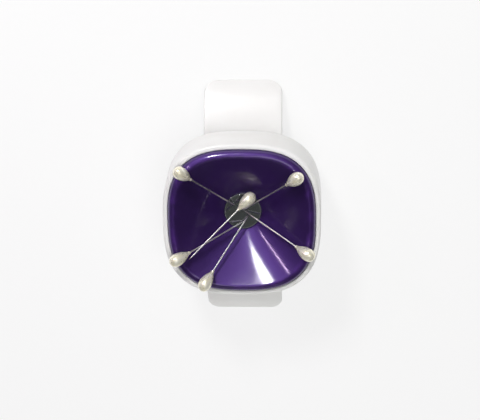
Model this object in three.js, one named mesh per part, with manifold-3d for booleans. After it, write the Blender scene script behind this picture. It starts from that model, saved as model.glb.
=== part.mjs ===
// A magnetic wrist pin cushion: a deep funnel-shaped dish with a disc magnet at its bottom,
// held in a white housing on an open, springy wrist strap, with six pearl-headed pins in the dish.
// Millimetres. The dish faces +Z, the wrist passes along X under the strap, the strap's arms run
// along Y, and both of its ends stand on z = 0.

import * as THREE from 'three';
import Module from 'manifold-3d';
import { mergeVertices } from 'three/addons/utils/BufferGeometryUtils.js';

const wasm = await Module();
wasm.setup();

// Driving dimensions: strap
const strapWidth = 37.5;
const strapThickness = 2;
const strapEdgeRadius = 0.8;
const strapFlatHalf = 18;
const strapBendRadius = 65;
const strapArmLength = 44;
const strapLengthsPerArm = 3;
const strapCurl = 36;
const strapFlexClearance = 0.3;
const strapCornerRadius = 7;
const strapFootDepth = 0.7;

// Driving dimensions: plan of the body, a square with bulging sides
const planExponent = 2.8;
const rimHalf = 34.4;
const rimWidth = 3.2;
const crestRise = 3.3;
const dishDepth = 18.2;
const dishWall = 1.8;
const dishFloor = 1.5;

// Driving dimensions: housing and back cover
const lipWidth = 2.2;
const lipStep = 0.3;
const housingWall = 1.6;
const housingFlare = 0.9;
const ledgeWidth = 1.6;
const ledgeThickness = 1.6;
const coverThickness = 2;
const coverToDish = 0.7;

// Driving dimensions: magnet and its pad
const magnetRadius = 9;
const magnetThickness = 3.2;
const magnetChamfer = 0.3;
const magnetProud = 0.2;
const padThickness = 0.3;
const padInset = 0.4;

// Driving dimensions: fasteners
const coverScrewInset = 10.7;
const strapScrewSpot = 15;
const shankRadius = 1.1;
const screwHeadRadius = 2.2;
const screwHeadDepth = 1.1;
const screwCrossReach = 1.35;
const screwCrossWidth = 0.6;
const screwCrossDepth = 0.7;
const coverScrewLength = 8;
const strapScrewLength = 8;
const bossWall = 1.6;
const coverBossHeight = 4.5;
const strapPlateHalfX = 17.5;
const strapPlateHalfY = 12;
const strapPlateThickness = 1.8;
const strapPlateCorner = 4;

// Driving dimensions: pins
const shaftRadius = 0.35;
const shaftLength = 32.5;
const shaftPointLength = 3;
const headLength = 11;
const headRadius = 3.05;
const neckRadius = 0.8;
const headFullness = 0.9;
const socketDepth = 5;

// Clearances
const seatGap = 0.05;
const edgeGap = 0.15;
const screwGap = 0.12;
const socketGap = 0.25;
const restGap = 0.3;
const coneGap = screwGap * Math.hypot(1, (screwHeadRadius - shankRadius) / screwHeadDepth);
const overcut = 1;

// Facets round a full turn, and along curves
const planFacets = 60;
const discFacets = 40;
const screwFacets = 20;
const shaftFacets = 8;
const headFacets = 16;
const headRings = 12;
const lipFacets = 6;
const rimFacets = 6;
const edgeFacets = 2;
const bendFacets = 6;

// Levels, from the strap upwards
const strapSweep = strapArmLength / strapBendRadius;
const strapDrop = strapBendRadius * (1 - Math.cos(strapSweep)) + 0.5 * strapThickness * Math.cos(strapSweep);
const strapMid = strapDrop - strapFootDepth;
const strapTop = strapMid + 0.5 * strapThickness;
const strapUnder = strapMid - 0.5 * strapThickness;
const plateUnder = strapUnder - seatGap - strapPlateThickness;
const backLevel = strapTop + seatGap;
const coverTop = backLevel + coverThickness;
const dishUnder = coverTop + coverToDish;
const floorTop = dishUnder + dishFloor;
const padUnder = floorTop + seatGap;
const magnetUnder = padUnder + padThickness + seatGap;
const magnetFace = magnetUnder + magnetThickness;
const funnelEdge = magnetFace - magnetProud;
const crestLevel = magnetFace + dishDepth;
const rimLevel = crestLevel - crestRise;
const flangeUnder = rimLevel - dishWall;

// Radii and half-widths that follow from the driving dimensions
const crestHalf = rimHalf - rimWidth;
const coverScrewSpot = crestHalf - coverScrewInset;
const pocketRadius = magnetRadius + edgeGap;
const cupRadius = pocketRadius + dishWall;
const lipInner = rimHalf + edgeGap;
const lipOuter = lipInner + lipWidth;
const backOuter = lipOuter + housingFlare;
const backInner = backOuter - housingWall;
const coverHalf = backInner - edgeGap;
const bossRadius = shankRadius + screwGap + bossWall;

const finishes = {
  whitePlastic: { color: 0xf2f1ee, roughness: 0.28, metalness: 0 },
  violetPlastic: { color: 0x35105f, roughness: 0.16, metalness: 0 },
  magnetSteel: { color: 0x8f9794, roughness: 0.42, metalness: 0.9 },
  foamTape: { color: 0xd9d6cc, roughness: 0.9, metalness: 0 },
  screwSteel: { color: 0xb8bbbd, roughness: 0.3, metalness: 1 },
  pinSteel: { color: 0xd2d4d6, roughness: 0.18, metalness: 1 },
  pearl: { color: 0xefe6cf, roughness: 0.22, metalness: 0.05 },
};

const part = new THREE.Group();

function addPiece(name, geometry, finish, parent = part) {
  const mesh = new THREE.Mesh(geometry, new THREE.MeshStandardMaterial(finishes[finish]));
  mesh.name = name;
  parent.add(mesh);
  return mesh;
}

// Welds equal corners and drops the triangles that this leaves without area.
function weld(geometry) {
  const bare = geometry.clone();
  bare.deleteAttribute('normal');
  bare.deleteAttribute('uv');
  const welded = mergeVertices(bare, 1e-4);
  const kept = [];
  const corners = welded.index.array;
  for (let i = 0; i < corners.length; i += 3) {
    const [a, b, c] = [corners[i], corners[i + 1], corners[i + 2]];
    if (a !== b && b !== c && c !== a) kept.push(a, b, c);
  }
  welded.setIndex(kept);
  return welded;
}

function toSolid(geometry) {
  const welded = weld(geometry);
  return new wasm.Manifold(new wasm.Mesh({
    numProp: 3,
    vertProperties: new Float32Array(welded.attributes.position.array),
    triVerts: new Uint32Array(welded.index.array),
  }));
}

function toGeometry(solid) {
  const mesh = solid.getMesh();
  const geometry = new THREE.BufferGeometry();
  geometry.setAttribute('position', new THREE.BufferAttribute(new Float32Array(mesh.vertProperties), 3));
  geometry.setIndex(Array.from(mesh.triVerts));
  return geometry;
}

// A profile of [radius, height] corners turned about the Z axis. It starts and ends on the axis
// or closes on itself, and runs anticlockwise seen with the radius to the right.
function turned(profile, facets) {
  const corners = profile.map(([radius, height]) => new THREE.Vector2(radius, height));
  const geometry = new THREE.LatheGeometry(corners, facets);
  geometry.rotateX(Math.PI / 2);
  return weld(geometry);
}

// How much further out than a circle the body's plan reaches in one direction.
function planReach(angle) {
  const along = Math.abs(Math.cos(angle)) ** planExponent;
  const across = Math.abs(Math.sin(angle)) ** planExponent;
  return (along + across) ** (-1 / planExponent);
}

// The share of that reach at one radius: none at the magnet's cup, all of it at the crest.
function planShare(radius) {
  return THREE.MathUtils.clamp((radius - cupRadius) / (crestHalf - cupRadius), 0, 1);
}

function squaredRadius(radius, angle) {
  return radius * (1 + planShare(radius) * (planReach(angle) - 1));
}

// Pushes a turned shape out to the body's squared plan.
function squared(geometry) {
  const place = geometry.attributes.position;
  for (let i = 0; i < place.count; i += 1) {
    const x = place.getX(i);
    const y = place.getY(i);
    const radius = Math.hypot(x, y);
    if (radius > 0) {
      const stretch = squaredRadius(radius, Math.atan2(y, x)) / radius;
      place.setX(i, x * stretch);
      place.setY(i, y * stretch);
    }
  }
  return geometry;
}

function cylinder(radius, from, to, x, y, facets) {
  const geometry = turned([[0, from], [radius, from], [radius, to], [0, to]], facets);
  return geometry.translate(x, y, 0);
}

const quarters = [[1, 1], [-1, 1], [-1, -1], [1, -1]];
const fourSpots = quarters.map(([x, y]) => [x * coverScrewSpot, y * coverScrewSpot]);
const twoSpots = [[-strapScrewSpot, 0], [strapScrewSpot, 0]];

// Countersunk screw, its head's flat at the given level and its shank upwards.
function screw(level, length, x, y) {
  const body = turned([
    [0, level],
    [screwHeadRadius, level],
    [shankRadius, level + screwHeadDepth],
    [shankRadius, level + length - shankRadius],
    [0, level + length],
  ], screwFacets);
  const bar = new THREE.BoxGeometry(2 * screwCrossReach, screwCrossWidth, 2 * screwCrossDepth);
  const otherBar = new THREE.BoxGeometry(screwCrossWidth, 2 * screwCrossReach, 2 * screwCrossDepth);
  bar.translate(0, 0, level);
  otherBar.translate(0, 0, level);
  const cross = toSolid(bar).add(toSolid(otherBar));
  return toGeometry(toSolid(body).subtract(cross)).translate(x, y, 0);
}

// The countersunk hole that such a screw passes through, and the plain hole beyond it.
function countersink(level, to, x, y) {
  const hole = turned([
    [0, level - overcut],
    [screwHeadRadius + coneGap, level - overcut],
    [screwHeadRadius + coneGap, level],
    [shankRadius + coneGap, level + screwHeadDepth],
    [shankRadius + screwGap, level + screwHeadDepth],
    [shankRadius + screwGap, to],
    [0, to],
  ], screwFacets);
  return toSolid(hole.translate(x, y, 0));
}

function plainHole(from, to, x, y) {
  return toSolid(cylinder(shankRadius + screwGap, from, to, x, y, screwFacets));
}

// Housing: the white side wall, its rounded lip and the ledge that the dish's flange sits on.
function housing() {
  const lipTop = rimLevel + lipStep;
  const ledgeTop = flangeUnder - seatGap;
  const ledgeInner = lipInner - ledgeWidth;
  const round = 0.5 * lipWidth;
  const profile = [[backInner, backLevel], [backOuter, backLevel], [lipOuter, lipTop - round]];
  for (let i = 1; i < lipFacets; i += 1) {
    const turn = (i * Math.PI) / lipFacets;
    profile.push([lipOuter - round + round * Math.cos(turn), lipTop - round + round * Math.sin(turn)]);
  }
  profile.push([lipInner, lipTop - round]);
  profile.push([lipInner, ledgeTop]);
  profile.push([ledgeInner, ledgeTop]);
  profile.push([ledgeInner, ledgeTop - ledgeThickness]);
  profile.push([backInner, ledgeTop - ledgeThickness - (backInner - ledgeInner)]);
  profile.push([backInner, backLevel]);
  return squared(turned(profile, planFacets));
}

// Dish: rolled rim, funnel and the cup that holds the magnet, with four screw bosses behind.
const funnelSlope = (crestLevel - funnelEdge) / (crestHalf - pocketRadius);

function dish() {
  const drop = dishWall * Math.hypot(1, funnelSlope);
  const cupTop = funnelEdge + funnelSlope * (cupRadius - pocketRadius) - drop;
  const flangeInner = pocketRadius + (flangeUnder + drop - funnelEdge) / funnelSlope;
  const profile = [
    [0, dishUnder],
    [cupRadius, dishUnder],
    [cupRadius, cupTop],
    [flangeInner, flangeUnder],
    [rimHalf, flangeUnder],
  ];
  for (let i = 0; i <= rimFacets; i += 1) {
    const turn = (i * Math.PI) / (2 * rimFacets);
    profile.push([crestHalf + rimWidth * Math.cos(turn), rimLevel + crestRise * Math.sin(turn)]);
  }
  profile.push([pocketRadius, funnelEdge]);
  profile.push([pocketRadius, floorTop]);
  profile.push([0, floorTop]);
  const shell = toSolid(squared(turned(profile, planFacets)));
  const above = crestLevel + overcut;
  const hollow = toSolid(squared(turned([
    [0, funnelEdge],
    [pocketRadius, funnelEdge],
    [crestHalf, crestLevel],
    [crestHalf, above],
    [0, above],
  ], planFacets)));
  const bossFoot = coverTop + seatGap;
  const bossTop = flangeUnder + 0.5 * dishWall;
  const holeEnd = backLevel + coverScrewLength + overcut;
  let body = shell;
  for (const [x, y] of fourSpots) {
    const boss = toSolid(cylinder(bossRadius, bossFoot, bossTop, x, y, screwFacets));
    body = body.add(boss.subtract(hollow)).subtract(plainHole(bossFoot - overcut, holeEnd, x, y));
  }
  return toGeometry(body);
}

function magnet() {
  return turned([
    [0, magnetUnder],
    [magnetRadius - magnetChamfer, magnetUnder],
    [magnetRadius, magnetUnder + magnetChamfer],
    [magnetRadius, magnetFace - magnetChamfer],
    [magnetRadius - magnetChamfer, magnetFace],
    [0, magnetFace],
  ], discFacets);
}

function magnetPad() {
  return cylinder(magnetRadius - padInset, padUnder, padUnder + padThickness, 0, 0, discFacets);
}

// Back cover: closes the housing behind, and carries two bosses for the strap's screws.
function backCover() {
  const profile = [[0, backLevel], [coverHalf, backLevel], [coverHalf, coverTop], [0, coverTop]];
  const bossFoot = backLevel + 0.5 * coverThickness;
  const holeEnd = plateUnder + strapScrewLength + overcut;
  let body = toSolid(squared(turned(profile, planFacets)));
  for (const [x, y] of twoSpots) {
    const boss = toSolid(cylinder(bossRadius, bossFoot, coverTop + coverBossHeight, x, y, screwFacets));
    body = body.add(boss).subtract(plainHole(backLevel - overcut, holeEnd, x, y));
  }
  for (const [x, y] of fourSpots) body = body.subtract(countersink(backLevel, coverTop + overcut, x, y));
  return toGeometry(body);
}

// Strap plate: the rounded plate on the wrist side that clamps the strap to the back cover.
function strapPlate() {
  const outline = new THREE.Shape();
  const [halfX, halfY, corner] = [strapPlateHalfX, strapPlateHalfY, strapPlateCorner];
  outline.moveTo(halfX, -halfY + corner);
  outline.lineTo(halfX, halfY - corner);
  outline.absarc(halfX - corner, halfY - corner, corner, 0, Math.PI / 2);
  outline.absarc(-halfX + corner, halfY - corner, corner, Math.PI / 2, Math.PI);
  outline.absarc(-halfX + corner, -halfY + corner, corner, Math.PI, 1.5 * Math.PI);
  outline.absarc(halfX - corner, -halfY + corner, corner, 1.5 * Math.PI, 2 * Math.PI);
  const plate = new THREE.ExtrudeGeometry(outline, {
    depth: strapPlateThickness, bevelEnabled: false, curveSegments: 6,
  });
  plate.translate(0, 0, plateUnder);
  let body = toSolid(plate);
  for (const [x, y] of twoSpots) body = body.subtract(countersink(plateUnder, strapUnder + overcut, x, y));
  return toGeometry(body);
}

// Strap: a flat middle and two arms that follow an arc, measured along the strap from its middle.
function strapFrame(along) {
  const turn = Math.max(0, Math.abs(along) - strapFlatHalf) / strapBendRadius;
  const reach = Math.min(Math.abs(along), strapFlatHalf) + strapBendRadius * Math.sin(turn);
  const side = Math.sign(along);
  return { y: side * reach, z: strapMid - strapBendRadius * (1 - Math.cos(turn)), turn: side * turn };
}

const strapEnd = strapFlatHalf + strapArmLength;

// Half the strap's width, less towards the rounded corners of its end.
function strapHalfWidth(along) {
  const past = Math.max(0, along - (strapEnd - strapCornerRadius));
  return 0.5 * strapWidth - strapCornerRadius + Math.sqrt(Math.max(0, strapCornerRadius ** 2 - past ** 2));
}

// One ring of the strap's rounded section.
function strapRing(along) {
  const { y, z, turn } = strapFrame(along);
  const halfWidth = strapHalfWidth(along) - strapEdgeRadius;
  const halfThick = 0.5 * strapThickness - strapEdgeRadius;
  const ring = [];
  for (const [sideX, sideZ, start] of [[1, -1, -0.5], [1, 1, 0], [-1, 1, 0.5], [-1, -1, 1]]) {
    for (let i = 0; i <= edgeFacets; i += 1) {
      const round = (start + (0.5 * i) / edgeFacets) * Math.PI;
      const across = sideX * halfWidth + strapEdgeRadius * Math.cos(round);
      const out = sideZ * halfThick + strapEdgeRadius * Math.sin(round);
      ring.push([across, y + out * Math.sin(turn), z + out * Math.cos(turn)]);
    }
  }
  return ring;
}

// Joins rings of equal count into one closed body, with a flat fan over each end.
function loft(rings) {
  const corners = rings.flat();
  const count = rings[0].length;
  const faces = [];
  for (let r = 0; r + 1 < rings.length; r += 1) {
    for (let i = 0; i < count; i += 1) {
      const next = (i + 1) % count;
      const [a, b] = [r * count + i, r * count + next];
      faces.push(a, a + count, b, b, a + count, b + count);
    }
  }
  const middle = (ring) => [0, 1, 2].map((k) => ring.reduce((sum, corner) => sum + corner[k], 0) / count);
  corners.push(middle(rings[0]), middle(rings[rings.length - 1]));
  const last = (rings.length - 1) * count;
  for (let i = 0; i < count; i += 1) {
    const next = (i + 1) % count;
    faces.push(corners.length - 2, i, next);
    faces.push(corners.length - 1, last + next, last + i);
  }
  const geometry = new THREE.BufferGeometry();
  geometry.setAttribute('position', new THREE.Float32BufferAttribute(corners.flat(), 3));
  geometry.setIndex(faces);
  return geometry;
}

// The gap left at each flex line, so that the lower edges don't meet when the strap curls.
const flexGap = strapThickness * Math.tan(THREE.MathUtils.degToRad(strapCurl) / 2) + strapFlexClearance;
const strapLength = strapArmLength / strapLengthsPerArm;

function strapMiddle() {
  const half = strapFlatHalf - 0.5 * flexGap;
  let body = toSolid(loft([strapRing(-half), strapRing(half)]));
  for (const [x, y] of twoSpots) {
    body = body.subtract(plainHole(strapUnder - overcut, strapTop + overcut, x, y));
  }
  return toGeometry(body);
}

// One length of an arm. The last one has rounded corners, and its end is faced level at z = 0.
function strapArmPiece(index) {
  const from = strapFlatHalf + index * strapLength + 0.5 * flexGap;
  const isTip = index === strapLengthsPerArm - 1;
  const to = isTip ? strapEnd - strapCornerRadius : strapFlatHalf + (index + 1) * strapLength - 0.5 * flexGap;
  const rings = [];
  for (let i = 0; i <= bendFacets; i += 1) rings.push(strapRing(from + ((to - from) * i) / bendFacets));
  if (isTip) {
    for (let i = 1; i <= bendFacets; i += 1) {
      rings.push(strapRing(to + strapCornerRadius * Math.sin((i * Math.PI) / (2 * bendFacets))));
    }
  }
  const piece = loft(rings);
  return isTip ? toGeometry(toSolid(piece).trimByPlane([0, 0, 1], 0)) : piece;
}

// Height of the face at a point of the plan: magnet, funnel, rolled rim, or the housing's lip beyond.
function surfaceHeight(x, y) {
  const angle = Math.atan2(y, x);
  const wanted = Math.hypot(x, y);
  if (wanted <= pocketRadius) return magnetFace;
  const past = wanted / planReach(angle) - crestHalf;
  if (past > rimWidth) return rimLevel + lipStep;
  if (past > 0) return rimLevel + crestRise * Math.sqrt(1 - (past / rimWidth) ** 2);
  let [low, high] = [pocketRadius, crestHalf];
  for (let i = 0; i < 20; i += 1) {
    const middle = 0.5 * (low + high);
    if (squaredRadius(middle, angle) < wanted) low = middle;
    else high = middle;
  }
  return funnelEdge + funnelSlope * (low - pocketRadius);
}

// A pin's teardrop head, from its neck at 0 to its round end at headLength: it swells as a power of
// the length and closes as a ball does, and its radius is headRadius at its belly.
const headBelly = (headLength * headFullness) / (headFullness + 0.5);

function swell(share) {
  return share ** headFullness * Math.sqrt(1 - share);
}

function headRadiusAt(along) {
  const share = THREE.MathUtils.clamp(along / headLength, 0, 1);
  const bulge = (headRadius * swell(share)) / swell(headBelly / headLength);
  return Math.max(bulge, share < 0.5 ? neckRadius * (1 - share) : 0);
}

function pinShaft() {
  return turned([
    [0, 0],
    [shaftRadius, shaftPointLength],
    [shaftRadius, shaftLength + socketDepth],
    [0, shaftLength + socketDepth],
  ], shaftFacets);
}

function pinHead() {
  const bore = shaftRadius + socketGap;
  const socketEnd = shaftLength + socketDepth + socketGap;
  const profile = [[0, socketEnd], [bore, socketEnd], [bore, shaftLength]];
  for (let i = 0; i < headRings; i += 1) {
    const along = (headLength * i) / headRings;
    profile.push([headRadiusAt(along), shaftLength + along]);
  }
  profile.push([0, shaftLength + headLength]);
  return turned(profile, headFacets);
}

function pinRadiusAt(along) {
  if (along > shaftLength) return Math.max(shaftRadius, headRadiusAt(along - shaftLength));
  return shaftRadius * Math.min(1, along / shaftPointLength);
}

const settledPins = [];

// Lowest centre of a ball that rests at a point of the plan, on the dish or on the pins settled before.
function restLevel(x, y, radius) {
  let level = surfaceHeight(x, y) + radius + restGap;
  for (let i = 0; i < 24; i += 1) {
    const away = radius * (i % 2 ? 0.45 : 0.85);
    const turn = (i * Math.PI) / 12;
    const height = surfaceHeight(x + away * Math.cos(turn), y + away * Math.sin(turn));
    level = Math.max(level, height + Math.sqrt(radius ** 2 - away ** 2) + restGap);
  }
  for (const { point, direction } of settledPins) {
    const flat = Math.hypot(direction.x, direction.y);
    const reach = ((x - point.x) * direction.x + (y - point.y) * direction.y) / flat;
    const along = THREE.MathUtils.clamp(reach / flat, 0, shaftLength + headLength);
    const aside = Math.hypot(x - point.x - along * direction.x, y - point.y - along * direction.y);
    const apart = radius + pinRadiusAt(along) + restGap;
    if (aside < apart) {
      level = Math.max(level, point.z + along * direction.z + Math.sqrt(apart ** 2 - aside ** 2) / flat);
    }
  }
  return level;
}

// A pin in the dish. One place along it rests at a spot given in magnet radii from the middle, and
// it runs from its point to its head in the plan direction given. It tips just enough to rest on
// the crest, or on a pin, at its far end.
function placePin(name, spotX, spotY, degrees, anchor) {
  const [x, y] = [spotX * magnetRadius, spotY * magnetRadius];
  const heading = THREE.MathUtils.degToRad(degrees);
  const anchorLevel = restLevel(x, y, pinRadiusAt(anchor));
  const side = anchor > 0 ? -1 : 1;
  const furthest = anchor > 0 ? anchor : shaftLength + headLength;
  let tip = 0;
  for (let round = 0; round < 8; round += 1) {
    let steepest = -0.5 * Math.PI;
    for (let offset = 1.5; offset <= furthest; offset += 0.5) {
      const reach = side * offset * Math.cos(tip);
      const [px, py] = [x + reach * Math.cos(heading), y + reach * Math.sin(heading)];
      const needed = restLevel(px, py, pinRadiusAt(anchor + side * offset)) - anchorLevel;
      steepest = Math.max(steepest, Math.asin(THREE.MathUtils.clamp(needed / offset, -1, 1)));
    }
    tip = steepest;
  }
  const rise = side * tip;
  const direction = new THREE.Vector3(
    Math.cos(rise) * Math.cos(heading),
    Math.cos(rise) * Math.sin(heading),
    Math.sin(rise),
  );
  const point = new THREE.Vector3(x, y, anchorLevel).addScaledVector(direction, -anchor);
  settledPins.push({ point, direction });
  const pin = new THREE.Group();
  pin.position.copy(point);
  pin.quaternion.setFromUnitVectors(new THREE.Vector3(0, 0, 1), direction);
  addPiece(`${name}_shaft`, pinShaft(), 'pinSteel', pin);
  addPiece(`${name}_head`, pinHead(), 'pearl', pin);
  part.add(pin);
}

addPiece('housing', housing(), 'whitePlastic');
addPiece('dish', dish(), 'violetPlastic');
addPiece('magnet', magnet(), 'magnetSteel');
addPiece('magnet_pad', magnetPad(), 'foamTape');
addPiece('back_cover', backCover(), 'whitePlastic');
addPiece('strap_plate', strapPlate(), 'whitePlastic');
addPiece('strap_middle', strapMiddle(), 'whitePlastic');

fourSpots.forEach(([x, y], i) => {
  addPiece(`cover_screw_${i + 1}`, screw(backLevel, coverScrewLength, x, y), 'screwSteel');
});
twoSpots.forEach(([x, y], i) => {
  addPiece(`strap_screw_${i + 1}`, screw(plateUnder, strapScrewLength, x, y), 'screwSteel');
});

for (const [side, turn] of [['upper', 0], ['lower', Math.PI]]) {
  const arm = new THREE.Group();
  arm.rotation.z = turn;
  for (let i = 0; i < strapLengthsPerArm; i += 1) {
    addPiece(`strap_${side}_${i + 1}`, strapArmPiece(i), 'whitePlastic', arm);
  }
  part.add(arm);
}

// Pins: the resting spot, the direction to the head, anticlockwise from +X, and the place along
// the pin that rests there: the point on the magnet, or the head's belly
placePin('pin_upper_left', -0.378, 0.311, 136.7, 0);
placePin('pin_upper_right', -0.022, 0.056, 40.7, 0);
placePin('pin_lower_left', 0.1, -0.522, 201.2, 0);
placePin('pin_bottom', 0.3, -0.211, 233.4, 0);
placePin('pin_lower_right', 0.067, 0.044, 334.6, 0);
placePin('pin_crossing', 0.322, 0.867, 43, shaftLength + headBelly);

export default part;
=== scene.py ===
"""Looks of the magnetic wrist pin cushion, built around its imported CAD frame.

Lengths are in millimetres until a mesh is made, and in metres from there on. The dish faces +Z,
the strap runs along Y and its ends stand on z = 0.
"""

import math

import bpy
import numpy as np
from mathutils import Matrix, Vector


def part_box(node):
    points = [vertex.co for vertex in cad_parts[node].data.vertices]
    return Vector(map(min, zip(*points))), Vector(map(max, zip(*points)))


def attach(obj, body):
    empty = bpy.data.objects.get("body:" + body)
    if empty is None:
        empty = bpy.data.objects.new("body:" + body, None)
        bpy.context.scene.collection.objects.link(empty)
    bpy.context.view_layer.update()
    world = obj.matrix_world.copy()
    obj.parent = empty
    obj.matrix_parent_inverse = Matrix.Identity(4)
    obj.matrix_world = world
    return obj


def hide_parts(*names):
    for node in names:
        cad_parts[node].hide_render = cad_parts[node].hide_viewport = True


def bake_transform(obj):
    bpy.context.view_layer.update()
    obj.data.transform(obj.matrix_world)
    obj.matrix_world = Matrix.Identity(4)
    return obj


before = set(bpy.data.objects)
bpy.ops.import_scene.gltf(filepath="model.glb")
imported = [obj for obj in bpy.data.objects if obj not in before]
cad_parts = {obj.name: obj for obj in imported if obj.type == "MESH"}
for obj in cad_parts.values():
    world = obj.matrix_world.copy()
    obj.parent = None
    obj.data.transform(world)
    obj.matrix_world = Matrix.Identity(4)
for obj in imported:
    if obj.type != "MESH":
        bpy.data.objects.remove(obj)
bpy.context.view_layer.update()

MM = 0.001
TURN = 2 * math.pi
QUARTER_TURN = TURN / 4

# Gap between two faces that rest on each other, and thicknesses of the body's pieces
TOUCH = 0.05
PLATE_THICK = 1.8
STRAP_THICK = 2
COVER_THICK = 2
CUP_THICK = 1.5
PAD_SPACE = 0.4
MAGNET_THICK = 3.2
DISH_WALL = 1.8
HOUSING_WALL = 1.6

# Levels of the body, from the wrist upwards
PLATE_UNDER = 1000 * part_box("strap_plate")[0].z
STRAP_UNDER = PLATE_UNDER + PLATE_THICK + TOUCH
STRAP_MID = STRAP_UNDER + STRAP_THICK / 2
BACK_LEVEL = STRAP_UNDER + STRAP_THICK + TOUCH
COVER_TOP = BACK_LEVEL + COVER_THICK
DISH_UNDER = COVER_TOP + 0.7
CUP_FLOOR = DISH_UNDER + CUP_THICK
MAGNET_UNDER = CUP_FLOOR + PAD_SPACE
MAGNET_FACE = MAGNET_UNDER + MAGNET_THICK
FUNNEL_EDGE = MAGNET_FACE - 0.2
CREST_LEVEL = MAGNET_FACE + 18.2
RIM_LEVEL = CREST_LEVEL - 3.3
FLANGE_UNDER = RIM_LEVEL - DISH_WALL
LEDGE_TOP = FLANGE_UNDER - TOUCH
LEDGE_FOOT = LEDGE_TOP - 4
LIP_TOP = RIM_LEVEL + 0.9

# Radii and half-widths of the body
MAGNET_RADIUS = 9
MAGNET_CHAMFER = 0.3
POCKET_RADIUS = 9.15
CUP_RADIUS = 10.95
CREST_HALF = 31.2
RIM_HALF = 34.4
LIP_INNER = 34.48
LEDGE_INNER = LIP_INNER - 1.6
LIP_OUTER = 36.75
BACK_OUTER = 37.65
BACK_INNER = 36.05
COVER_HALF = BACK_INNER - 0.15
PLAN_EXPONENT = 2.8
FUNNEL_SLOPE = (CREST_LEVEL - FUNNEL_EDGE) / (CREST_HALF - POCKET_RADIUS)

# Plate on the wrist side: half-length, half-width, corner radius and edge radius
PLATE_HALF_X = 17.5
PLATE_HALF_Y = 12
PLATE_CORNER = 4
PLATE_EDGE = 0.6

# Strap: a flat middle and two arms on an arc. The middle band ends before the first hinges, and
# each band of an arm bends over a length past its hinge and ends a little further on
STRAP_FLAT = 18
STRAP_BEND = 65
STRAP_ARM = 44
STRAP_END = STRAP_FLAT + STRAP_ARM
STRAP_HALF = 18.75
STRAP_CORNER = 7
STRAP_EDGE = 0.8
STRAP_FLANK = STRAP_THICK / 2 - STRAP_EDGE
STRAP_LENGTH = STRAP_ARM / 3
BAND_START = 15
BAND_OVERLAP = 11

# Screws, their holes and bosses: places, then lengths along the axis and radii round it
COVER_SPOTS = [(20.5, 20.5), (-20.5, 20.5), (-20.5, -20.5), (20.5, -20.5)]
STRAP_SPOTS = [(-15, 0), (15, 0)]
SCREW_LENGTH = 8
SCREW_TAPER = 1.1
SCREW_CONE = 1.15
THREAD_PITCH = 0.55
SCREW_HEAD = 2.2
SCREW_SHANK = 1.1
SCREW_ROOT = 0.92
HOLE_MOUTH = 2.42
HOLE_THROAT = 1.28
BOSS_BORE = 1.22
BOSS_OUTER = 2.82

# Pins: sizes, then the point's place and the way that the shaft runs from it
SHAFT_RADIUS = 0.35
SHAFT_LENGTH = 32.5
SHAFT_END = SHAFT_LENGTH + 5
HEAD_LENGTH = 11
HEAD_RADIUS = 3.05
HEAD_SWELL = 0.9
COLLAR_RADIUS = 0.8
POINT_LEVEL = MAGNET_FACE + 0.3
PINS = {
    "upper_left": ((-3.402, 2.799, POINT_LEVEL), (-0.60028, 0.56567, 0.56540)),
    "upper_right": ((-0.198, 0.504, POINT_LEVEL), (0.64006, 0.55054, 0.53594)),
    "lower_left": ((0.900, -4.698, POINT_LEVEL), (-0.77802, -0.30177, 0.55102)),
    "bottom": ((2.700, -1.899, POINT_LEVEL), (-0.50122, -0.67489, 0.54157)),
    "lower_right": ((0.603, 0.396, POINT_LEVEL), (0.75432, -0.35818, 0.55020)),
    "crossing": ((-24.674, -17.909, CREST_LEVEL + 0.005), (0.69678, 0.64976, -0.30384)),
}

# Studio: floor in millimetres, places that lamps look at from the middle of the crest, and the
# bright sides of the room in gloss: direction, cosines where each is whole and gone, strength
FLOOR_HALF = 4000
FLOOR_LEVEL = -0.02
FLOOR_GLOW = 0.75
LAMP_AIM = (0, -20, -6)
KEY_AIM = (8, -22, -7)
ROOM_GLOSS = 0.04
BRIGHT_SIDES = [
    ((-0.05, 0.83, 0.55), 0.99, 0.76, 0.12),
    ((0.05, -0.86, 0.5), 0.99, 0.8, 0.03),
    ((-0.04, -0.32, 0.95), 0.995, 0.95, 0.08),
]
PURE_WHITE = (1, 1, 1, 1)


# ---- Shapes ----

def contour(corners, step=1.0, arc_steps=6):
    """Outline through corners [across, up, radius]. Each corner with a radius is turned by an arc
    of that radius that touches both sides, and the straights carry points about a step apart."""
    places = np.array([c[:2] for c in corners], float)
    radii = [c[2] if len(c) > 2 else 0 for c in corners]
    line = [places[:1]]
    for i in range(1, len(places) - 1):
        before, here, after = places[i - 1], places[i], places[i + 1]
        back = (before - here) / np.linalg.norm(before - here)
        on = (after - here) / np.linalg.norm(after - here)
        half = 0.5 * math.acos(np.clip(back @ on, -1, 1))
        if radii[i] == 0 or half > QUARTER_TURN - 1e-3:
            line.append(here[None])
            continue
        reach = radii[i] / math.tan(half)
        middle = here + (back + on) / np.linalg.norm(back + on) * radii[i] / math.sin(half)
        first, last = here + back * reach - middle, here + on * reach - middle
        share = np.linspace(0, 1, arc_steps + 1)[:, None]
        swing = math.pi - 2 * half
        arc = np.sin((1 - share) * swing) * first + np.sin(share * swing) * last
        line.append(middle + arc / math.sin(swing))
    line.append(places[-1:])
    points = np.concatenate(line)
    dense = [points[:1]]
    for a, b in zip(points[:-1], points[1:]):
        count = max(1, round(float(np.linalg.norm(b - a)) / step))
        dense.append(a + (b - a) * (np.arange(1, count + 1) / count)[:, None])
    return np.concatenate(dense)


def turned(profile, columns, spot=(0, 0)):
    """A profile of [radius, height] rows turned about an upright axis at a spot: row r, column c is
    at the profile's radius and height, and at c's share of a full turn."""
    angle = np.arange(columns) * TURN / columns
    radius, height = profile[:, :1], profile[:, 1:]
    rounds = np.stack([radius * np.cos(angle), radius * np.sin(angle), height + 0 * angle], -1)
    return rounds + np.array([*spot, 0])


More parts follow.
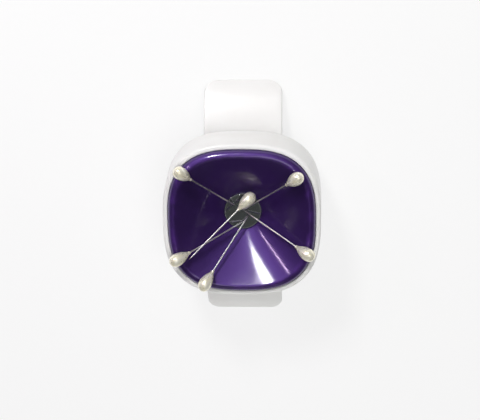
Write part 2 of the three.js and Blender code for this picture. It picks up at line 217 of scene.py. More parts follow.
def plan_reach(angle):
    """How much further out than a circle the body's plan goes: a superellipse."""
    total = np.abs(np.cos(angle)) ** PLAN_EXPONENT + np.abs(np.sin(angle)) ** PLAN_EXPONENT
    return total ** (-1 / PLAN_EXPONENT)


def squared(points):
    """Pushes turned points out to the squared plan: not at all at the cup, fully at the crest."""
    across, along = points[..., 0], points[..., 1]
    radius = np.hypot(across, along)
    share = np.clip((radius - CUP_RADIUS) / (CREST_HALF - CUP_RADIUS), 0, 1)
    stretch = 1 + share * (plan_reach(np.arctan2(along, across)) - 1)
    return points * np.stack([stretch, stretch, np.ones_like(stretch)], -1)


def skin(points, loop=False):
    """Corners and faces of a grid [row, column, xyz]. Columns close round. Rows close on
    themselves if loop, and otherwise the first and the last row are one point each."""
    rows, columns = points.shape[:2]
    index = np.arange(rows * columns).reshape(rows, columns)
    if loop:
        index = np.vstack([index, index[:1]])
    below, above = index[:-1], index[1:]
    quads = np.stack([below, np.roll(below, -1, 1), np.roll(above, -1, 1), above], -1)
    if loop:
        return points.reshape(-1, 3), quads.reshape(-1, 4)
    first, last = quads[0].copy(), quads[-1].copy()
    first[:, 0] = columns - 1
    last[:, 3] = (rows - 1) * columns
    fans = np.concatenate([first[:, [0, 2, 3]], last[:, [0, 1, 3]]])
    spare = columns - 1
    kept = points.reshape(-1, 3)[spare : (rows - 1) * columns + 1]
    return kept, quads[1:-1].reshape(-1, 4) - spare, fans - spare


def shape(name, skins, sharp=32):
    """One mesh object, in metres, of skins: corners, then arrays of faces. Edges sharper than the
    angle stay sharp."""
    corners, faces, count = [], [], 0
    for points, *polygons in skins:
        corners.append(points)
        for kind in polygons:
            faces += (kind + count).tolist()
        count += len(points)
    mesh = bpy.data.meshes.new(name)
    mesh.from_pydata((np.concatenate(corners) * MM).tolist(), [], faces)
    mesh.update()
    mesh.shade_smooth()
    mesh.set_sharp_from_angle(angle=math.radians(sharp))
    made = bpy.data.objects.new(name, mesh)
    bpy.context.scene.collection.objects.link(made)
    return made


def cut_away(piece, cutters, sharp=32):
    """Takes the cutters' shapes out of a piece, and removes the cutters."""
    for cutter in cutters:
        bite = piece.modifiers.new("bite", "BOOLEAN")
        bite.operation, bite.solver, bite.object = "DIFFERENCE", "EXACT", cutter
    bpy.context.view_layer.update()
    whole = piece.evaluated_get(bpy.context.evaluated_depsgraph_get())
    carved = bpy.data.meshes.new_from_object(whole)
    piece.modifiers.clear()
    piece.data = carved
    carved.shade_smooth()
    carved.set_sharp_from_angle(angle=math.radians(sharp))
    for cutter in cutters:
        bpy.data.objects.remove(cutter)
    return piece


def settle(piece, finish, body, slot, *nodes):
    """Gives a piece its finish and its body, and hides the CAD nodes it stands for. The slot is
    not used, and a piece without a body is left unattached."""
    piece.data.materials.clear()
    piece.data.materials.append(finish)
    if body:
        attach(piece, body)
    if nodes:
        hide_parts(*nodes)
    return piece


# ---- Finishes ----

def node(tree, kind, sockets=None, **settings):
    """A shader node with its settings, and each named socket linked or given its value."""
    made = tree.nodes.new("ShaderNode" + kind)
    for key, value in settings.items():
        setattr(made, key, value)
    for key, value in (sockets or {}).items():
        if isinstance(value, bpy.types.NodeSocket):
            tree.links.new(value, made.inputs[key])
        else:
            made.inputs[key].default_value = value
    return made


def new_finish(name, **sockets):
    """A material with one principled shader, whose sockets get the values that are the same all
    over, and the object coordinates to place a pattern with."""
    material = bpy.data.materials.new(name)
    material.use_nodes = True
    tree = material.node_tree
    shader = next(n for n in tree.nodes if n.type == "BSDF_PRINCIPLED")
    for key, value in sockets.items():
        shader.inputs[key.replace("_", " ")].default_value = value
    place = node(tree, "TexCoord").outputs["Object"]
    return material, tree, shader, place


def noise(tree, place, scale, detail=2.0, roughness=0.5, stretch=None):
    """Noise in cells a metre over a place, with its pattern stretched if asked."""
    if stretch:
        place = node(tree, "Mapping", {"Vector": place, "Scale": stretch}).outputs["Vector"]
    sockets = {"Vector": place, "Scale": scale, "Detail": detail, "Roughness": roughness}
    return node(tree, "TexNoise", sockets).outputs["Fac"]


def spread(tree, value, low, high, start=0.0, end=1.0):
    """Carries a value between start and end to a value between low and high, held at the ends."""
    sockets = {"Value": value, "From Min": start, "From Max": end, "To Min": low, "To Max": high}
    return node(tree, "MapRange", sockets).outputs["Result"]


def reckon(tree, operation, *values):
    """One step of arithmetic on values or sockets."""
    return node(tree, "Math", dict(enumerate(values)), operation=operation).outputs[0]


def tint(tree, share, first, second):
    """Colour from the first, a colour or a socket, to the second as share goes from 0 to 1."""
    start = first if isinstance(first, bpy.types.NodeSocket) else (*first, 1)
    mixed = node(tree, "Mix", {0: share, 6: start, 7: (*second, 1)}, data_type="RGBA")
    return mixed.outputs[2]


def bump(tree, shader, height, depth, strength=1.0, before=None):
    """Raises the surface by height times depth, in metres, on top of a bump before it."""
    sockets = {"Height": height, "Distance": depth, "Strength": strength}
    if before:
        sockets["Normal"] = before
    made = node(tree, "Bump", sockets).outputs["Normal"]
    tree.links.new(made, shader.inputs["Normal"])
    return made


def paint(tree, shader, colour, roughness):
    """Links a finish's colour and its roughness to the shader."""
    tree.links.new(colour, shader.inputs["Base Color"])
    tree.links.new(roughness, shader.inputs["Roughness"])


def polar(tree, place):
    """Angle round the Z axis, in radians, distance from it and height, in metres."""
    parts = node(tree, "SeparateXYZ", {"Vector": place}).outputs
    angle = reckon(tree, "ARCTAN2", parts["Y"], parts["X"])
    flat = node(tree, "CombineXYZ", {"X": parts["X"], "Y": parts["Y"]}).outputs["Vector"]
    away = node(tree, "VectorMath", {0: flat}, operation="LENGTH").outputs["Value"]
    return angle, away, parts["Z"]


def two_ways(tree, first, first_scale, second, second_scale):
    """Place for a pattern that runs along two values, with a scale for each."""
    one = reckon(tree, "MULTIPLY", first, first_scale)
    other = reckon(tree, "MULTIPLY", second, second_scale)
    return node(tree, "CombineXYZ", {"X": one, "Y": other}).outputs["Vector"]


def white_plastic():
    """Glossy white moulding: faint flow marks, a very fine skin and slightly grubby patches."""
    material, tree, shader, place = new_finish(
        "white_plastic", Specular_IOR_Level=0.5, IOR=1.49, Coat_Weight=0.25, Coat_Roughness=0.12
    )
    flow = noise(tree, place, 45, 3, 0.55, (1, 1, 2.2))
    fine = noise(tree, place, 1500, 2)
    handled = noise(tree, place, 130, 4, 0.65)
    drift = spread(tree, flow, 0, 1, 0.3, 0.7)
    clean = tint(tree, drift, (0.82, 0.815, 0.79), (0.85, 0.85, 0.83))
    grubby = tint(tree, spread(tree, handled, 0, 0.10, 0.5, 0.9), clean, (0.74, 0.725, 0.68))
    gloss = reckon(tree, "ADD", spread(tree, handled, 0.26, 0.32), spread(tree, fine, -0.02, 0.03))
    paint(tree, shader, grubby, gloss)
    soft = bump(tree, shader, flow, 0.00012, 0.5)
    bump(tree, shader, fine, 0.000012, 0.6, soft)
    return material


def violet_plastic():
    """Deep violet, highly polished moulding, with hairlines down the funnel where pins slide, and
    a paler, duller crest where it is rubbed."""
    material, tree, shader, place = new_finish(
        "violet_plastic", IOR=2.15, Specular_IOR_Level=0.72, Specular_Tint=(0.42, 0.22, 1, 1),
        Coat_Weight=1.0, Coat_Roughness=0.12
    )
    angle, away, height = polar(tree, place)
    cloudy = noise(tree, place, 60, 3, 0.5)
    smudge = noise(tree, place, 170, 4, 0.6)
    ripple = noise(tree, place, 320, 2)
    hairline = noise(tree, two_ways(tree, angle, 70.0, away, 90.0), 1.0, 3, 0.7)
    hair = spread(tree, hairline, 0, 1, 0.66, 0.74)
    rub = spread(tree, height, 0, 1, (CREST_LEVEL - 1.2) * MM, (CREST_LEVEL - 0.1) * MM)
    worn = reckon(tree, "MULTIPLY", rub, spread(tree, smudge, 0, 1, 0.45, 0.75))
    drift = spread(tree, cloudy, 0, 1, 0.35, 0.65)
    deep = tint(tree, drift, (0.009, 0.0013, 0.027), (0.012, 0.0018, 0.034))
    faded = tint(tree, reckon(tree, "MULTIPLY", worn, 0.5), deep, (0.09, 0.02, 0.24))
    scratched = reckon(tree, "MULTIPLY", hair, 0.10)
    gloss = reckon(tree, "ADD", spread(tree, smudge, 0.52, 0.62), scratched)
    gloss = reckon(tree, "ADD", gloss, reckon(tree, "MULTIPLY", worn, 0.06))
    paint(tree, shader, faded, gloss)
    soft = bump(tree, shader, ripple, 0.00003, 0.35)
    bump(tree, shader, hair, 0.000006, 0.5, soft)
    return material


def magnet_plating():
    """Plated magnet: dark, mirror-like nickel with fine turned marks and fingerprints, and a
    paler, patchy ring near its edge that is a painted highlight."""
    material, tree, shader, place = new_finish("magnet_plating", Metallic=1.0)
    angle, away, _ = polar(tree, place)
    marks = noise(tree, two_ways(tree, away, 2600.0, angle, 0.9), 1.0, 2, 0.6)
    grain = noise(tree, place, 900, 3, 0.6)
    patch = noise(tree, place, 220, 3, 0.6)
    # Painted highlight: the base colour turns pale in a patchy ring just inside the magnet's edge.
    edge = spread(tree, away, 0, 1, (MAGNET_RADIUS - 0.9) * MM, (MAGNET_RADIUS - 0.4) * MM)
    painted_glint_ring = reckon(tree, "MULTIPLY", edge, spread(tree, patch, 0.6, 1, 0.4, 0.6))
    drift = spread(tree, patch, 0, 1, 0.3, 0.7)
    dark = tint(tree, drift, (0.30, 0.33, 0.32), (0.38, 0.42, 0.41))
    colour_with_painted_glint = tint(tree, painted_glint_ring, dark, (0.80, 0.84, 0.82))
    gloss = reckon(tree, "ADD", spread(tree, marks, 0.07, 0.15), spread(tree, grain, -0.03, 0.04))
    paint(tree, shader, colour_with_painted_glint, gloss)
    soft = bump(tree, shader, marks, 0.000005, 0.4)
    bump(tree, shader, grain, 0.000004, 0.4, soft)
    return material


def plated_steel(name, colour, low, high, scratches):
    """Plated steel: the colour and the gloss drift from patch to patch, with fine scratches."""
    material, tree, shader, place = new_finish(name, Metallic=1.0)
    patch = noise(tree, place, 260, 3, 0.6)
    fine = noise(tree, place, scratches, 2, 0.6, (1, 1, 0.25))
    dull = tuple(0.82 * c for c in colour)
    plated = tint(tree, spread(tree, patch, 0, 1, 0.35, 0.7), colour, dull)
    gloss = reckon(tree, "ADD", spread(tree, patch, low, high), spread(tree, fine, -0.03, 0.05))
    paint(tree, shader, plated, gloss)
    bump(tree, shader, fine, 0.000004, 0.4)
    return material


def pearl_lacquer():
    """Ivory pearl lacquer: metallic flakes drawn into streaks along the head, under a clear coat,
    over a swirl of cream and white."""
    material, tree, shader, _ = new_finish(
        "pearl", Metallic=0.42, Specular_IOR_Level=0.6, IOR=1.52, Coat_Weight=0.8,
        Coat_Roughness=0.05
    )
    place = node(tree, "Attribute", attribute_name="own_place").outputs["Vector"]
    warp = reckon(tree, "MULTIPLY", noise(tree, place, 230, 2, 0.5), 0.004)
    shift = node(tree, "CombineXYZ", {"X": warp}).outputs["Vector"]
    bent = node(tree, "VectorMath", {0: place, 1: shift}, operation="ADD").outputs["Vector"]
    swirl = noise(tree, bent, 420, 3, 0.6, (1, 1, 0.5))
    streak = noise(tree, bent, 1000, 3, 0.6, (1, 1, 0.16))
    drift = spread(tree, swirl, 0, 1, 0.32, 0.68)
    cream = tint(tree, drift, (0.91, 0.85, 0.62), (1.0, 0.975, 0.86))
    paint(tree, shader, cream, spread(tree, streak, 0.42, 0.22, 0.35, 0.65))
    soft = bump(tree, shader, swirl, 0.00006, 0.5)
    bump(tree, shader, streak, 0.00003, 0.5, soft)
    return material


def foam_tape():
    """Matt adhesive foam, open-celled."""
    material, tree, shader, place = new_finish("foam_tape", Specular_IOR_Level=0.2)
    cells = node(tree, "TexVoronoi", {"Vector": place, "Scale": 2600.0}).outputs["Distance"]
    colour = tint(tree, cells, (0.55, 0.54, 0.48), (0.72, 0.70, 0.64))
    paint(tree, shader, colour, spread(tree, cells, 0.8, 0.95))
    bump(tree, shader, cells, 0.00005, 0.8)
    return material


WHITE = white_plastic()
VIOLET = violet_plastic()
PLATING = magnet_plating()
SCREW = plated_steel("screw_steel", (0.55, 0.56, 0.57), 0.24, 0.38, 2500)
PIN = plated_steel("pin_steel", (0.97, 0.93, 0.90), 0.36, 0.54, 4000)
PEARL = pearl_lacquer()
FOAM = foam_tape()


# ---- Body ----

def boss(spot, foot, top, foot_edge, top_edge, bore_edge, columns):
    """Tube that a screw bites into, turned about the screw's axis, with a radius on the outer edge
    of its foot and on both edges of its top."""
    ring = [
        (BOSS_BORE, foot), (BOSS_OUTER, foot, foot_edge), (BOSS_OUTER, top, top_edge),
        (BOSS_BORE, top, bore_edge), (BOSS_BORE, foot),
    ]
    return skin(turned(contour(ring, 0.8, 3)[:-1], columns, spot), loop=True)


def violet_dish():
    """Rolled rim, funnel and cup turned from one profile and squared: the roll is a quarter of an
    ellipse. The four bosses behind it end inside the funnel's wall."""
    drop = DISH_WALL * math.hypot(1, FUNNEL_SLOPE)
    cup_top = FUNNEL_EDGE + FUNNEL_SLOPE * (CUP_RADIUS - POCKET_RADIUS) - drop
    flange_inner = POCKET_RADIUS + (FLANGE_UNDER + drop - FUNNEL_EDGE) / FUNNEL_SLOPE
    turn = np.linspace(0, QUARTER_TURN, 19)[1:-1]
    roll_out = CREST_HALF + (RIM_HALF - CREST_HALF) * np.cos(turn)
    roll_up = RIM_LEVEL + (CREST_LEVEL - RIM_LEVEL) * np.sin(turn)
    corners = [
        (0, DISH_UNDER), (CUP_RADIUS, DISH_UNDER, 0.5), (CUP_RADIUS, cup_top, 0.8),
        (flange_inner, FLANGE_UNDER, 0.6), (RIM_HALF, FLANGE_UNDER, 0.3), (RIM_HALF, RIM_LEVEL),
        *zip(roll_out, roll_up), (CREST_HALF, CREST_LEVEL, 1.6),
        (POCKET_RADIUS, FUNNEL_EDGE, 0.35), (POCKET_RADIUS, CUP_FLOOR, 0.3), (0, CUP_FLOOR),
    ]
    skins = [skin(squared(turned(contour(corners, 0.7), 288)))]
    for spot in COVER_SPOTS:
        nearest = math.hypot(*spot) - BOSS_OUTER - 0.08
        top = FUNNEL_EDGE + FUNNEL_SLOPE * (nearest - POCKET_RADIUS) - 0.9 * drop
        skins.append(boss(spot, COVER_TOP + TOUCH, top, 0.2, 0, 0, 32))
    return shape("violet_dish", skins)


def white_housing():
    """Side wall with a rounded lip and the ledge under the dish's flange, squared. The profile
    starts and ends in the middle of the wall's back face."""
    wall_middle = BACK_INNER + HOUSING_WALL / 2
    corners = [
        (wall_middle, BACK_LEVEL), (BACK_OUTER, BACK_LEVEL, 0.5), (LIP_OUTER, LIP_TOP, 1.15),
        (LIP_INNER, LIP_TOP, 0.6), (LIP_INNER, LEDGE_TOP, 0.1), (LEDGE_INNER, LEDGE_TOP, 0.2),
        (LEDGE_INNER, LEDGE_TOP - HOUSING_WALL, 0.3), (BACK_INNER, LEDGE_FOOT, 0.6),
        (BACK_INNER, BACK_LEVEL, 0.2), (wall_middle, BACK_LEVEL),
    ]
    profile = contour(corners, 0.8)[:-1]
    return shape("white_housing", [skin(squared(turned(profile, 288)), loop=True)])


def magnet_disc():
    """Ground disc with a small chamfer on both rims, whose edges are barely rounded."""
    face, soft = MAGNET_RADIUS - MAGNET_CHAMFER, 0.08
    corners = [
        (0, MAGNET_UNDER), (face, MAGNET_UNDER, soft),
        (MAGNET_RADIUS, MAGNET_UNDER + MAGNET_CHAMFER, soft),
        (MAGNET_RADIUS, MAGNET_FACE - MAGNET_CHAMFER, soft),
        (face, MAGNET_FACE, soft), (0, MAGNET_FACE),
    ]
    return shape("magnet_disc", [skin(turned(contour(corners, 0.6, 3), 144))], sharp=28)


def cross_cutter(level, spot):
    """Cross recess of a screw head: a plus-shaped outline, its four arms a quarter turn apart,
    that narrows from before the head's face to the recess's floor."""
    reach, half, depth = 1.35, 0.3, 0.7
    arm_x, arm_y = np.array([(reach, -half), (reach, half), (half, half)]).T
    angle = np.arange(4)[:, None] * QUARTER_TURN
    cosine, sine = np.cos(angle), np.sin(angle)
    outline = np.stack([cosine * arm_x - sine * arm_y, sine * arm_x + cosine * arm_y], -1)
    outline = outline.reshape(-1, 2)
    rows = []
    for size, up in ((0, -depth), (1.12, -depth), (0.78, depth), (0, depth)):
        rows.append(np.column_stack([outline * size, np.full(len(outline), up)]))
    return shape("recess", [skin(np.stack(rows) + np.array([*spot, level]))])


def screw(name, level, spot):
    """Countersunk screw with its head down: a turned profile with a thread of fine ridges on its
    shank, and a cross recess."""
    end = level + SCREW_LENGTH
    taper = end - SCREW_TAPER
    ridges = []
    for up in np.arange(level + 2.4, taper - 0.4, THREAD_PITCH):
        ridges += [
            (SCREW_SHANK, up), (SCREW_ROOT, up + 0.14), (SCREW_ROOT, up + 0.36),
            (SCREW_SHANK, up + 0.5),
        ]
    corners = [
        (0, level), (SCREW_HEAD, level, 0.1), (SCREW_HEAD, level + 0.12),
        (SCREW_SHANK, level + SCREW_CONE, 0.2), *ridges, (SCREW_SHANK, taper, 0.1), (0, end),
    ]
    body = shape(name, [skin(turned(contour(corners, 0.9, 3), 40, spot))], 25)
    return cut_away(body, [cross_cutter(level, spot)], 25)


def countersink(level, top, spot):
    """The hole a countersunk screw passes through, from below its face to a level."""
    corners = [
        (0, level - 1), (HOLE_MOUTH, level - 1), (HOLE_MOUTH, level + 0.05),
        (HOLE_THROAT, level + SCREW_CONE), (BOSS_BORE, top), (0, top),
    ]
    return shape("hole", [skin(turned(contour(corners, 1.0, 3), 40, spot))])


def cover_plate():
    """Squared back cover with rounded edges and four countersinks."""
    corners = [
        (0, BACK_LEVEL), (COVER_HALF, BACK_LEVEL, 0.35), (COVER_HALF, COVER_TOP, 0.3),
        (0, COVER_TOP),
    ]
    plate = shape("cover_plate", [skin(squared(turned(contour(corners, 1.2), 192)))])
    return cut_away(plate, [countersink(BACK_LEVEL, COVER_TOP + 1, spot) for spot in COVER_SPOTS])


def cover_boss(name, spot):
    """Boss behind the cover that a strap screw bites into. Its foot is inside the cover."""
    return shape(name, [boss(spot, COVER_TOP - 0.4, COVER_TOP + 4.5, 0, 0.3, 0.1, 40)])


def corner_path(share, half_x, half_y, corner):
    """First quarter of a rounded rectangle and its way out, from the middle of its right side
    (share 0) round the corner to the middle of its top side (share 1): half the shares go to the
    corner's arc."""
    turn = np.clip((share - 0.25) / 0.5, 0, 1) * QUARTER_TURN
    out = np.stack([np.cos(turn), np.sin(turn)], -1)
    rim = np.array([half_x - corner, half_y - corner]) + corner * out
    low = share < 0.25
    high = share > 0.75
    rim[low, 1] = (half_y - corner) * share[low] / 0.25
    rim[high, 0] = (half_x - corner) * (1 - share[high]) / 0.25
    return rim, out


def wrist_plate():
    """Plate on the wrist side, with two countersinks. Its outline is a rectangle with corners of
    one radius. Its rows run out over the face, round a quarter round on each edge, and back in."""
    angle = (np.arange(160) + 0.5) * TURN / 160
    signs = np.sign(np.stack([np.cos(angle), np.sin(angle)], -1))
    quarter, share = np.divmod(angle / QUARTER_TURN, 1)
    share = np.where(quarter % 2 == 1, 1 - share, share)
    rim, out = corner_path(share, PLATE_HALF_X, PLATE_HALF_Y, PLATE_CORNER)
    size = np.array([0, 0.4, 0.8])
    turn = np.linspace(0, QUARTER_TURN, 7)
    inset, rise = PLATE_EDGE * (1 - np.sin(turn)), PLATE_EDGE * (1 - np.cos(turn))
    face = rim * size[:, None, None]
    edge = rim - inset[:, None, None] * out
    rows = np.concatenate([face, edge, edge[::-1], face[::-1]]) * signs
    above = PLATE_UNDER + PLATE_THICK
    level = np.concatenate(
        [PLATE_UNDER + 0 * size, PLATE_UNDER + rise, above - rise[::-1], above + 0 * size]
    )
    height = np.broadcast_to(level[:, None, None], (*rows.shape[:2], 1))
    plate = shape("wrist_plate", [skin(np.concatenate([rows, height], -1))])
    return cut_away(plate, [countersink(PLATE_UNDER, STRAP_UNDER + 0.5, s) for s in STRAP_SPOTS])


# ---- Strap ----

def strap_frame(along):
    """Place [y, z] and turn of the strap's middle line at a length along it from its middle: flat
    to begin with, then round an arc."""
    turn = np.maximum(0, np.abs(along) - STRAP_FLAT) / STRAP_BEND
    side = np.sign(along)
    y = side * (np.minimum(np.abs(along), STRAP_FLAT) + STRAP_BEND * np.sin(turn))
    return y, STRAP_MID - STRAP_BEND * (1 - np.cos(turn)), side * turn


def strap_section():
    """Section of the strap: a flat bar with a quarter round on each edge, from its lower right
    anticlockwise. Each point has a share of the half-width inside the rounds, an amount that is
    added to it, and a height over the middle line."""
    arc = np.linspace(0, QUARTER_TURN, 7)
    flat = np.linspace(-1, 1, 25)[1:-1]
    share, added, height = [], [], []
    for side, face, quarter in ((1, -1, -1), (1, 1, 0), (-1, 1, 1), (-1, -1, 2)):
        angle = quarter * QUARTER_TURN + arc
        share.append(side + 0 * angle)
        added.append(STRAP_EDGE * np.cos(angle))
        height.append(STRAP_FLANK * face + STRAP_EDGE * np.sin(angle))
        if side == face:
            share.append(-face * flat)
            added.append(0 * flat)
            height.append(face * STRAP_THICK / 2 + 0 * flat)
    return np.concatenate(share), np.concatenate(added), np.concatenate(height)


def strap_band(name, start, stop, rows, side=1, tip=False):
    """A length of the strap: its section carried along the middle line. At the tip the half-width
    follows the corner's circle, the thickness falls away round the end's edge, and what would pass
    below z = 0 is faced level. Both ends are closed by their middle points."""
    along = np.linspace(start, stop, rows)
    if tip:
        turn = np.linspace(0, QUARTER_TURN, 29)[1:]
        straight = np.linspace(start, STRAP_END - STRAP_CORNER, rows)
        along = np.concatenate([straight, STRAP_END - STRAP_CORNER * (1 - np.sin(turn))])
    past = np.clip(along - (STRAP_END - STRAP_CORNER), 0, STRAP_CORNER)
    half = STRAP_HALF - STRAP_CORNER + np.sqrt(np.maximum(0, STRAP_CORNER**2 - past**2))
    past = np.clip(along - (STRAP_END - STRAP_EDGE), 0, STRAP_EDGE)
    thin = STRAP_FLANK + np.sqrt(np.maximum(0, STRAP_EDGE**2 - past**2))
    thin = thin / (STRAP_THICK / 2)
    share, added, height = strap_section()
    x = share * (half[:, None] - STRAP_EDGE) + added
    lift = height * thin[:, None]
    y, z, turn = (v[:, None] for v in strap_frame(along))
    points = np.stack([x, y + lift * np.sin(turn), z + lift * np.cos(turn)], -1)
    ends = [np.repeat(points[i].mean(0)[None, None], points.shape[1], 1) for i in (0, -1)]
    points = np.concatenate([ends[0], points, ends[1]])
    points[..., 2] = np.maximum(points[..., 2], 0)
    if side < 0:
        points[..., :2] *= -1
    return shape(name, [skin(points)], 40)


# ---- Pins ----

def head_radius(along):
    """Radius of a teardrop pearl at a length from its neck: it swells as a power of the length and
    closes as a ball does. The blunt neck is blended in by a sum of fourth powers."""
    share = np.clip(along / HEAD_LENGTH, 0, 1)
    total = HEAD_SWELL + 0.5
    peak = (HEAD_SWELL / total) ** HEAD_SWELL * math.sqrt(0.5 / total)
    bulge = HEAD_RADIUS * share**HEAD_SWELL * np.sqrt(1 - share) / peak
    collar = COLLAR_RADIUS * np.clip(1 - 2 * share, 0, 1)
    return (bulge**4 + collar**4) ** 0.25


def standing(points, start, direction):
    """Carries points built up the Z axis to a pin's place and direction."""
    towards = Vector(direction).normalized()
    turn = Vector((0, 0, 1)).rotation_difference(towards).to_matrix()
    return points @ np.array(turn, float).T + np.array(start, float)


def pin_shaft(name, start, direction):
    """Steel shaft: a long, slightly rounded point and a plain wire that ends inside the pearl."""
    corners = [
        (0, 0), (0.05, 0.1), (0.2, 1.3, 0.5), (SHAFT_RADIUS, 3, 8), (SHAFT_RADIUS, SHAFT_END, 0.1),
        (0, SHAFT_END),
    ]
    wire = turned(contour(corners, 1.0), 24)
    return shape(name, [skin(standing(wire, start, direction))], 50)


def pin_head(name, start, direction):
    """Pearl: the teardrop's outline, with a socket for the shaft at its neck. Each corner keeps
    its place from before the pin was stood up, for the finish to run along the head."""
    along = HEAD_LENGTH * 0.5 * (1 - np.cos(np.linspace(0, math.pi, 49)))
    outline = np.column_stack([head_radius(along), SHAFT_LENGTH + along])
    outline[-1, 0] = 0
    bore, floor = SHAFT_RADIUS + 0.04, SHAFT_END + 0.2
    socket = [(0, floor), (bore, floor), (bore, SHAFT_LENGTH + 0.12), (bore + 0.15, SHAFT_LENGTH)]
    points, *faces = skin(turned(np.concatenate([socket, outline]), 56))
    head = shape(name, [(standing(points, start, direction), *faces)], 50)
    own = head.data.attributes.new("own_place", "FLOAT_VECTOR", "POINT")
    own.data.foreach_set("vector", (points * MM).ravel())
    return head


# ---- Assembly ----

settle(violet_dish(), VIOLET, "cushion", "violet_plastic", "dish")
settle(white_housing(), WHITE, "cushion", "white_plastic", "housing")
settle(magnet_disc(), PLATING, "cushion", "magnet_steel", "magnet")
settle(cover_plate(), WHITE, "cushion", "white_plastic", "back_cover")
for side, spot in zip(("left", "right"), STRAP_SPOTS):
    settle(cover_boss(f"cover_boss_{side}", spot), WHITE, "cushion", "white_plastic")
settle(wrist_plate(), WHITE, "cushion", "white_plastic", "strap_plate")
for kind, level, spots in (("cover", BACK_LEVEL, COVER_SPOTS), ("strap", PLATE_UNDER, STRAP_SPOTS)):
    for i, spot in enumerate(spots, 1):
        made = screw(f"steel_{kind}_screw_{i}", level, spot)
        settle(made, SCREW, "cushion", "screw_steel", f"{kind}_screw_{i}")

middle = strap_band("strap_band_middle", -BAND_START, BAND_START, 31)
settle(middle, WHITE, "cushion", "white_plastic", "strap_middle")
for arm, side in (("upper", 1), ("lower", -1)):
    before, start = "cushion", BAND_START
    for i in range(3):
        flex = STRAP_FLAT + i * STRAP_LENGTH
        stop = flex + BAND_OVERLAP
        body = f"strap_{arm}_{i + 1}"
        band = strap_band(f"strap_band_{arm}_{i + 1}", start, stop, 40, side, tip=i == 2)
        settle(band, WHITE, None, "white_plastic", body)
        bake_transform(band)
        before, start = body, stop

for name, (start, direction) in PINS.items():
    body = f"pin_{name}"
    shaft = pin_shaft(f"steel_{name}", start, direction)
    settle(shaft, PIN, body, "pin_steel", f"pin_{name}_shaft")
    settle(pin_head(f"pearl_{name}", start, direction), PEARL, body, "pearl", f"pin_{name}_head")

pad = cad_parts["magnet_pad"]
pad.data.materials.clear()
pad.data.materials.append(FOAM)


# ---- Studio ----

def studio_floor():
    """Pale floor just under the strap's ends. Three quarters of what is seen of it, straight or in
    a mirror, is its own white, so that it stays pale and keeps the object's shadow."""
    steps = np.linspace(-FLOOR_HALF, FLOOR_HALF, 9)
    x, y = np.meshgrid(steps, steps, indexing="ij")
    points = np.stack([x, y, 0 * x + FLOOR_LEVEL], -1).reshape(-1, 3)
    index = np.arange(x.size).reshape(x.shape)
    quads = np.stack([index[:-1, :-1], index[1:, :-1], index[1:, 1:], index[:-1, 1:]], -1)
    floor = shape("floor", [(points, quads.reshape(-1, 4))])
    material, tree, shader, place = new_finish(
        "studio_floor", Specular_IOR_Level=0.0, Roughness=0.9
    )
    pale = tint(tree, noise(tree, place, 300, 2), (0.87, 0.87, 0.86), (0.90, 0.90, 0.89))
    tree.links.new(pale, shader.inputs["Base Color"])
    path = node(tree, "LightPath").outputs
    seen = reckon(tree, "MAXIMUM", path["Is Camera Ray"], path["Is Glossy Ray"])
    seen = reckon(tree, "MAXIMUM", seen, path["Is Transmission Ray"])
    glow = node(tree, "Emission", {"Color": PURE_WHITE, "Strength": 1.0}).outputs[0]
    share = reckon(tree, "MULTIPLY", seen, FLOOR_GLOW)
    mixed = node(tree, "MixShader", {0: share, 1: shader.outputs[0], 2: glow}).outputs[0]
    output = next(n for n in tree.nodes if n.type == "OUTPUT_MATERIAL")
    tree.links.new(mixed, output.inputs["Surface"])
    floor.data.materials.append(material)


def studio_world():
    """The room. The camera sees white. In gloss it is dim, with a faint, broad bright side beyond
    the strap's upper arm, a fainter one opposite and one overhead that the magnet mirrors. Low
    walls light everything else, and the ceiling hardly does."""
    world = bpy.data.worlds.new("studio")
    world.use_nodes = True
    bpy.context.scene.world = world
    tree = world.node_tree
    tree.nodes.clear()
    towards = node(tree, "TexCoord").outputs["Generated"]
    room = ROOM_GLOSS
    for direction, whole, gone, strength in BRIGHT_SIDES:
        along = node(tree, "VectorMath", {0: towards, 1: direction}, operation="DOT_PRODUCT")
        side = spread(tree, along.outputs["Value"], 0, strength, gone, whole)
        room = reckon(tree, "ADD", side, room)
    path = node(tree, "LightPath").outputs
    camera_sees = reckon(tree, "MAXIMUM", path["Is Camera Ray"], path["Is Transmission Ray"])
    height = node(tree, "SeparateXYZ", {"Vector": towards}).outputs["Z"]
    walls = spread(tree, height, 0.10, 0.5, 0.25, 0.02)
    even = node(tree, "Background", {"Color": (0.97, 0.98, 1, 1), "Strength": walls}).outputs[0]
    gloss = node(tree, "Background", {"Color": PURE_WHITE, "Strength": room}).outputs[0]
    white = node(tree, "Background", {"Color": PURE_WHITE, "Strength": 1.0}).outputs[0]
    mixed = node(tree, "MixShader", {0: path["Is Glossy Ray"], 1: even, 2: gloss}).outputs[0]
    mixed = node(tree, "MixShader", {0: camera_sees, 1: mixed, 2: white}).outputs[0]
    tree.links.new(mixed, node(tree, "OutputWorld").inputs["Surface"])


def softbox(
    name, azimuth, elevation, distance, width, height, watts, aim=LAMP_AIM, colour=(1, 1, 1),
    round_edge=False, mirrored=True
):
    """Area lamp at a distance, in metres, in an azimuth anticlockwise from +X and an elevation,
    seen from the place it looks at, which is given from the middle of the crest."""
    a, e = math.radians(azimuth), math.radians(elevation)
    towards = Vector((math.cos(a) * math.cos(e), math.sin(a) * math.cos(e), math.sin(e)))
    lamp = bpy.data.lights.new(name, "AREA")
    lamp.shape = "ELLIPSE" if round_edge else "RECTANGLE"
    lamp.size, lamp.size_y = width, height
    lamp.energy, lamp.color = watts, colour
    holder = bpy.data.objects.new(name, lamp)
    holder.location = Vector((aim[0], aim[1], CREST_LEVEL + aim[2])) * MM + towards * distance
    holder.rotation_euler = towards.to_track_quat("Z", "Y").to_euler()
    holder.visible_glossy = mirrored
    bpy.context.scene.collection.objects.link(holder)


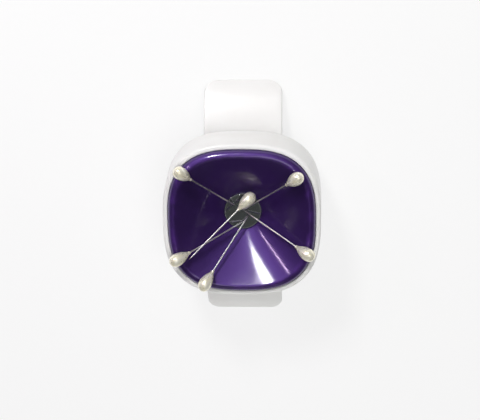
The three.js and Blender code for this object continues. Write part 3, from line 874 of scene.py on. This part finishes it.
def studio_camera():
    """The photograph's view: 18.7 degrees off the dish's axis towards the strap's upper arm and
    2.2 to its right, 0.5 m from the crest and rolled 0.6 degrees. The crest's middle is a little
    below the middle of the frame and to its right."""
    lean, aside, roll = math.radians(18.7), math.radians(2.23), math.radians(-0.6)
    distance, focal_pixels, frame_width = 0.5, 1083.5, 480
    left_pixels, up_pixels = 1.4, 13.4
    level = math.cos(aside)
    back = Vector((math.sin(aside), math.sin(lean) * level, math.cos(lean) * level))
    right = Vector((0, 1, 0)).cross(back).normalized()
    up = back.cross(right)
    cosine, sine = math.cos(roll), math.sin(roll)
    right, up = right * cosine + up * sine, up * cosine - right * sine
    place = Vector((0, 0, CREST_LEVEL * MM)) + back * distance
    shift = right * (-left_pixels / focal_pixels) + up * (up_pixels / focal_pixels)
    aim = (-back + shift).normalized()
    right = aim.cross(up).normalized()
    up = right.cross(aim)
    camera = bpy.data.cameras.new("camera")
    camera.sensor_width = 36
    camera.lens = camera.sensor_width * focal_pixels / frame_width
    camera.clip_start, camera.clip_end = 0.01, 20
    holder = bpy.data.objects.new("camera", camera)
    turn = Matrix((right, up, -aim)).transposed()
    holder.matrix_world = Matrix.Translation(place) @ turn.to_4x4()
    bpy.context.scene.collection.objects.link(holder)
    bpy.context.scene.camera = holder


studio_floor()
studio_world()
softbox("key", 109.3, 37, 0.6, 0.105, 0.150, 1.75, KEY_AIM, round_edge=True)
softbox("key_tail", 98.5, 35.2, 0.6, 0.10, 0.010, 0.08, KEY_AIM)
softbox("strip", 145.5, 33, 0.6, 0.008, 0.135, 0.27, (15, -19, -7), colour=(0.93, 0.66, 1))
softbox("front", 268, 32, 0.9, 0.5, 0.3, 0.22)
softbox("low_front", 270, -0.5, 0.9, 0.6, 0.05, 3.0, (0, -30, -10), mirrored=False)
softbox("top", 60, 70, 0.9, 0.4, 0.4, 1.0)
softbox("overhead", 340, 78, 0.9, 0.5, 0.5, 2.8, mirrored=False)
studio_camera()
bpy.context.scene.view_settings.view_transform = "Standard"
